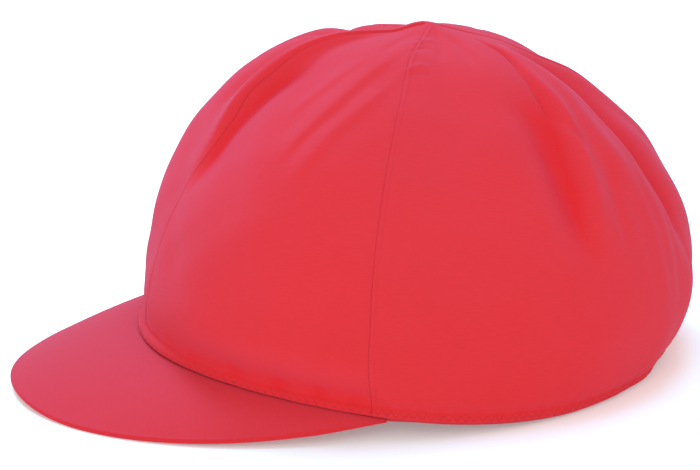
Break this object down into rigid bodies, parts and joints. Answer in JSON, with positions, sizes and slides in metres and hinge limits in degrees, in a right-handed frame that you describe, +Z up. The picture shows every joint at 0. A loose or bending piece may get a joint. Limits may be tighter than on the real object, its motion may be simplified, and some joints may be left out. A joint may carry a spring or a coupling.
{
  "type": "cycling cap",
  "caption": "Soft cotton cycling cap: a full, slightly slouched crown of sewn panels, a short peak that curves down, and a sweatband inside the rim.",
  "frame": {"origin": "on the surface the cap stands on, under the middle of its length and width", "axes": "+Z up through the crown, -Y towards the tip of the peak, +X to the wearer's left"},
  "size_m": [0.1596, 0.2692, 0.1338],
  "materials": {
    "cotton": "matte plain-woven cotton, coral red",
    "sweatband": "matte cotton tape, coral red"
  },
  "bodies": {
    "root": {"crown_front_left": "cotton", "crown_front_right": "cotton", "crown_back_left": "cotton", "crown_back_right": "cotton", "peak": "cotton", "sweatband": "sweatband"}
  },
  "joints": []
}
